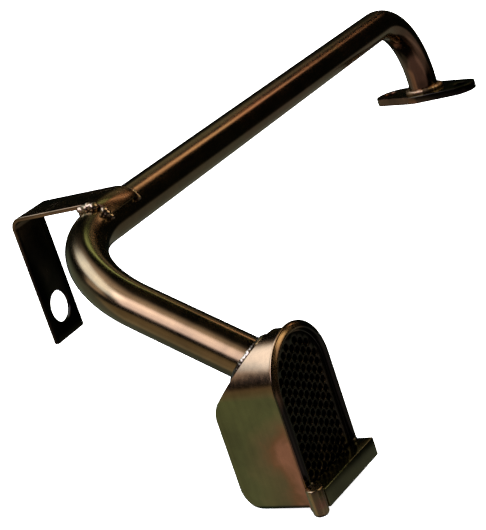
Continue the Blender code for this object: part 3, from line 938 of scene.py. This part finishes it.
def dropPuddles(points, radius, drips, jitter, seed):
    dice = random.Random(seed)
    stretch = weldShape["stretch"]
    bm = bmesh.new()
    puddles = [(point, radius * (1 + dice.uniform(-1, 1) * jitter)) for point in points]
    for point, size in puddles + list(drips):
        shift = Vector([dice.uniform(-1, 1) for axis in range(3)]) * radius * jitter * weldShape["drift"]
        squash = Matrix.Diagonal((1 + dice.uniform(-stretch, stretch), 1 + dice.uniform(-stretch, stretch),
                                  weldShape["squash"], 1))
        bmesh.ops.create_icosphere(bm, subdivisions=weldShape["ballDetail"], radius=size,
                                   matrix=Matrix.Translation(point + shift) @ squash)
    return bm


def fusePuddles(name, bm):
    mesh = bpy.data.meshes.new(name)
    bm.to_mesh(mesh)
    bm.free()
    raw = bpy.data.objects.new(name, mesh)
    scene.collection.objects.link(raw)
    fuse = raw.modifiers.new("fuse", "REMESH")
    fuse.mode = "VOXEL"
    fuse.voxel_size = weldShape["voxel"]
    fused = bpy.data.meshes.new_from_object(raw.evaluated_get(bpy.context.evaluated_depsgraph_get()))
    bpy.data.objects.remove(raw, do_unlink=True)
    bpy.data.meshes.remove(mesh)
    bead = bmesh.new()
    bead.from_mesh(fused)
    bpy.data.meshes.remove(fused)
    return bead


def layBead(name, points, radius, stands, finish, seed, drips=(), rough=1.0):
    puddles = dropPuddles(points, radius, drips, weldShape["jitter"] * rough, seed)
    bead = fusePuddles(name + "Puddles", puddles)
    for smoothing in range(weldShape["smoothings"]):
        bmesh.ops.smooth_vert(bead, verts=bead.verts, factor=weldShape["smooth"], use_axis_x=True,
                              use_axis_y=True, use_axis_z=True)
    return finishPiece(name, bead, finish, stands, 80)


# The strap's beads: the node, the end of the saddle, from and to in degrees over the tube, radius and seed
bracketBeads = {
    "beadFront": ("bracket_weld_front", 1, -24, 16, 0.0021, 3),
    "beadCorner": ("bracket_weld_corner", 1, 42, 68, 0.0018, 8),
    "beadBack": ("bracket_weld_back", -1, 42, 68, 0.0014, 12),
}
bracketSet = {
    "proud": 0.0010,
    "beside": 0.0008,
    "drips": ((-0.0018, -0.0005, 0.0015), (-0.0036, -0.0009, 0.0011)),   # how far up and across, and radius
}


def makeBracketBeads():
    reach = tubeShape["radius"] + bracketSet["proud"]
    beside = strapShape["width"] / 2 + bracketSet["beside"]
    for name, (stands, end, start, stop, size, seed) in bracketBeads.items():
        middle = strapMiddle + runWay * end * beside
        points = arcPoints(middle, up, runAcross, reach, start, stop, stepsFor(reach, stop - start))
        drips = []
        if name == "beadFront":
            drips = [(points[0] + up * rise + runAcross * aside, radius)
                     for rise, aside, radius in bracketSet["drips"]]
        layBead(name, points, size, stands, "weld", seed, drips)


flangeBead = {"radius": 0.0019, "proud": 0.0011, "above": 0.0008, "rough": 0.15, "seed": 21}


def makeFlangeBead():
    reach = tubeShape["radius"] + flangeBead["proud"]
    middle = up * (flangeShape["thick"] + flangeBead["above"])
    points = arcPoints(middle, heading(0), heading(90), reach, 0, 360, stepsFor(reach, 360))[:-1]
    layBead("beadFlange", points, flangeBead["radius"], "flange_weld", "flangeBead", flangeBead["seed"],
            rough=flangeBead["rough"])


shroudBead = {
    "radius": 0.0017,
    "proud": 0.0011,
    "above": 0.0009,
    "rough": 0.4,
    "seed": 34,
    "points": 72,
    "blobs": ((32, 0.0021), (35, 0.0024), (38, 0.0018), (43, 0.0020), (27, 0.0017)),   # point and radius
}


def makeShroudBead():
    side = legWay.cross(up).normalized()
    over = side.cross(legWay)
    normal = sideNormal(180 - shroudShape["slope"])
    reach = tubeShape["radius"] + shroudBead["proud"]
    points = []
    for ring in arcPoints(Vector(), side, over, reach, 0, 360, shroudBead["points"])[:-1]:
        slide = (shroudBead["above"] - ring.dot(normal)) / legWay.dot(normal)
        points.append(slopePoint + ring + legWay * slide)
    blobs = [(points[i], size) for i, size in shroudBead["blobs"]]
    layBead("beadShroud", points, shroudBead["radius"], "shroud_weld", "darkWeld", shroudBead["seed"],
            blobs, shroudBead["rough"])


# The tacks on the ends of the spacer: the node, the end, and the seed
tacks = {
    "tackLeft": ("spacer_tack_left", -1, 41),
    "tackRight": ("spacer_tack_right", 1, 47),
}
tackShape = {
    "radius": 0.0009,
    "above": 0.0005,
    "forward": 0.0006,
    "inside": 0.001,
    "pitch": 0.0007,
    "puddles": 4,
}


def makeTacks():
    top = spacerMiddle.z + spacerShape["size"] / 2 + tackShape["above"]
    for name, (stands, end, seed) in tacks.items():
        points = []
        for i in range(tackShape["puddles"]):
            along = spacerShape["length"] / 2 - tackShape["inside"] - tackShape["pitch"] * i
            points.append(Vector((mouthX + tackShape["forward"], headY + end * along, top)))
        layBead(name, points, tackShape["radius"], stands, "tack", seed)


makeBracketBeads()
makeFlangeBead()
makeShroudBead()
makeTacks()
print("welds laid")


# Studio: a pale floor and backdrop, and a dark room whose soft panels are what the plate reflects
studio = {
    "floorReach": 14.0,
    "floorSides": 96,
    "floorCentre": (0.06, -0.24),
    "floorDrop": 0.0004,
    "floorTone": (0.93, 0.93, 0.93),
    "floorRoughness": 0.95,
    "floorGlow": 0.88,
    "floorLight": 5.0,
    "lightSpread": 150.0,
    "backdropShare": 0.99,
    "backdropSides": (48, 24),
    "leastAhead": 0.0001,
    "roomTone": (0.004, 0.005, 0.004),
}
# Where a panel hangs, its half width, half height and roll in degrees, its soft edge, light and tint
panels = {
    "keyFringe": (214, 64, 33, 20, 0, 0.5, 1.1, (1.0, 0.84, 0.74)),
    "keyBox": (206, 53, 28, 13, -12, 0.4, 3.0, (0.80, 0.98, 1.22)),
    "keyCore": (252, 40, 11, 18, 0, 0.4, 3.8, (0.95, 0.88, 1.10)),
    "keySkirt": (212, 29, 11, 8, 0, 0.4, 0.95, (1.0, 0.84, 0.72)),
    "backBox": (86.5, 34, 10, 2.3, 56, 0.4, 3.3, (1.0, 0.60, 0.38)),
    "goldBox": (27, 40, 15, 24, 0, 0.4, 2.7, (1.0, 0.80, 0.50)),
    "backTop": (107, 45, 7, 2.5, 10, 0.4, 1.7, (0.80, 1.0, 0.46)),
    "backHaze": (110, 30, 10, 5, 0, 0.5, 0.30, (1.0, 0.80, 0.55)),
    "leftWall": (185, -12, 28, 26, 0, 0.5, 0.24, (0.90, 1.0, 0.88)),
    "frontWall": (226, -15, 20, 19, 0, 0.2, 0.34, (1.0, 0.80, 0.48)),
    "nearTable": (5, -40, 30, 19, 0, 0.2, 0.20, (1.0, 0.90, 0.78)),
    "farTable": (75, -35, 40, 14, 0, 0.15, 0.15, (1.0, 0.92, 0.82)),
    "frontTable": (284, -38, 54, 27, 0, 0.3, 0.20, (1.0, 0.82, 0.74)),
    "underTable": (214, -50, 18, 12, 0, 0.4, 0.08, (0.90, 1.0, 0.75)),
}


def stageMesh(name, bm, material, glossy=False, shadow=False, diffuse=True):
    mesh = bpy.data.meshes.new(name)
    bm.to_mesh(mesh)
    bm.free()
    mesh.materials.append(material)
    piece = bpy.data.objects.new(name, mesh)
    scene.collection.objects.link(piece)
    piece.visible_glossy = glossy
    piece.visible_shadow = shadow
    piece.visible_diffuse = diffuse


def addFloor():
    bm = bmesh.new()
    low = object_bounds()[0][2] - studio["floorDrop"]
    ringEdges(bm, Vector((*studio["floorCentre"], low)), up, studio["floorReach"], studio["floorSides"])
    fillPlate(bm, bm.edges[:], up)
    paper = Finish("floorPaper")
    paper.set(Base_Color=(*studio["floorTone"], 1.0), Roughness=studio["floorRoughness"],
              Specular_IOR_Level=0.0, Emission_Color=(1, 1, 1, 1), Emission_Strength=studio["floorGlow"])
    stageMesh("studioFloor", bm, paper.material)


def addBackdrop():
    bm = bmesh.new()
    around, rings = studio["backdropSides"]
    bmesh.ops.create_uvsphere(bm, u_segments=around, v_segments=rings,
                              radius=studio["floorReach"] * studio["backdropShare"])
    cloth = Finish("backdropCloth")
    cloth.set(Base_Color=(0, 0, 0, 1), Emission_Color=(1, 1, 1, 1), Emission_Strength=1.0)
    stageMesh("studioBackdrop", bm, cloth.material, diffuse=False)


# How much of a panel is seen in a direction: 1 on it, and fading out over its soft edge
def panelMask(room, view, azimuth, elevation, wide, high, roll, edge):
    front = heading(azimuth, -elevation)
    side = Matrix.Rotation(math.radians(roll), 3, front) @ front.cross(up).normalized()
    ahead, aside, above = [room.dot(view, axis) for axis in (front, side, side.cross(front))]
    mask = room.math("GREATER_THAN", ahead, 0.0)
    ahead = room.math("MAXIMUM", ahead, studio["leastAhead"])
    for part, half in ((aside, wide), (above, high)):
        reach = math.tan(math.radians(half))
        off = room.math("ABSOLUTE", room.math("DIVIDE", part, ahead), 0.0)
        fade = room.spread(off, reach * (1 - edge), reach * (1 + edge), 1.0, 0.0, "SMOOTHSTEP")
        mask = room.math("MULTIPLY", mask, fade)
    return mask


def lightRoom():
    world = bpy.data.worlds.new("studioRoom")
    world.use_nodes = True
    scene.world = world
    room = NodeKit(world.node_tree)
    view = room.add("ShaderNodeTexCoord").outputs["Generated"]
    base = room.add("ShaderNodeRGB")
    base.outputs["Color"].default_value = (*studio["roomTone"], 1.0)
    total = base.outputs["Color"]
    for azimuth, elevation, wide, high, roll, edge, light, tint in panels.values():
        glow = room.add("ShaderNodeVectorMath", operation="MULTIPLY_ADD")
        room.wire(panelMask(room, view, azimuth, elevation, wide, high, roll, edge), glow.inputs[0])
        glow.inputs[1].default_value = [part * light for part in tint]
        room.wire(total, glow.inputs[2])
        total = glow.outputs["Vector"]
    room.wire(total, room.tree.nodes["Background"].inputs["Color"])


def lightFloor():
    light = bpy.data.lights.new("floorLight", "SUN")
    light.energy = studio["floorLight"]
    light.angle = math.radians(studio["lightSpread"])
    lamp = bpy.data.objects.new("floorLight", light)
    lamp.visible_glossy = False
    scene.collection.objects.link(lamp)


addFloor()
addBackdrop()
lightRoom()
lightFloor()
scene.view_settings.view_transform = "Standard"
print("studio built")
